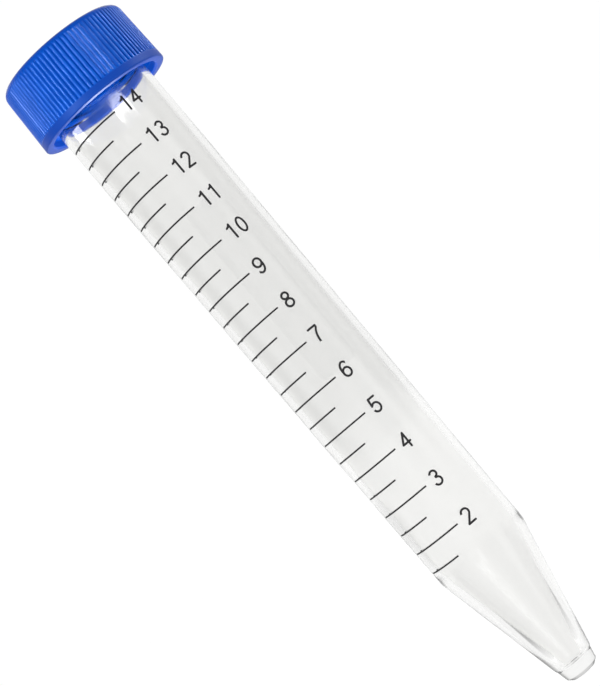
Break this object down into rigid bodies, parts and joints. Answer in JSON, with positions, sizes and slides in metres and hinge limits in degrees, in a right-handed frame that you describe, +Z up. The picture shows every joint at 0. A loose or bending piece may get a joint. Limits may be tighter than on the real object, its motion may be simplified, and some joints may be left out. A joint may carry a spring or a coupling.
{
  "type": "centrifuge tube",
  "caption": "Clear conical-bottom centrifuge tube with a printed volume scale, a writing patch and a finely ribbed blue screw cap with a sealing liner.",
  "frame": {"origin": "centre of the flat at the tip's bottom", "axes": "+Z up along the tube's axis towards the cap; -Y is the front, where the scale's long lines end; numerals lie towards +X"},
  "size_m": [0.0224, 0.0224, 0.12],
  "materials": {
    "clear_plastic": "clear, moulded, glossy",
    "blue_plastic": "moulded, satin gloss",
    "liner_foam": "soft, matt",
    "black_ink": "printed ink",
    "white_ink": "printed ink, matt, thin"
  },
  "bodies": {
    "tube": {"tube_body": "clear_plastic", "major_graduation_lines": "black_ink", "half_graduation_lines": "black_ink", "graduation_numerals": "black_ink", "writing_patch": "white_ink"},
    "liner": {"cap_liner": "liner_foam"},
    "cap": {"screw_cap": "blue_plastic"}
  },
  "joints": [
    {"name": "cap_lift", "type": "slide", "parent": "tube", "child": "liner", "axis": [0, 0, 1], "range_m": [0, 0.024]},
    {"name": "cap_turn", "type": "hinge", "parent": "liner", "child": "cap", "pos_m": [0, 0, 0.115], "axis": [0, 0, 1], "range_deg": [0, 2880]}
  ],
  "couplings": [
    {"joint": "cap_lift", "follows": "cap_turn", "m_per_rad": 0.00047746}
  ]
}
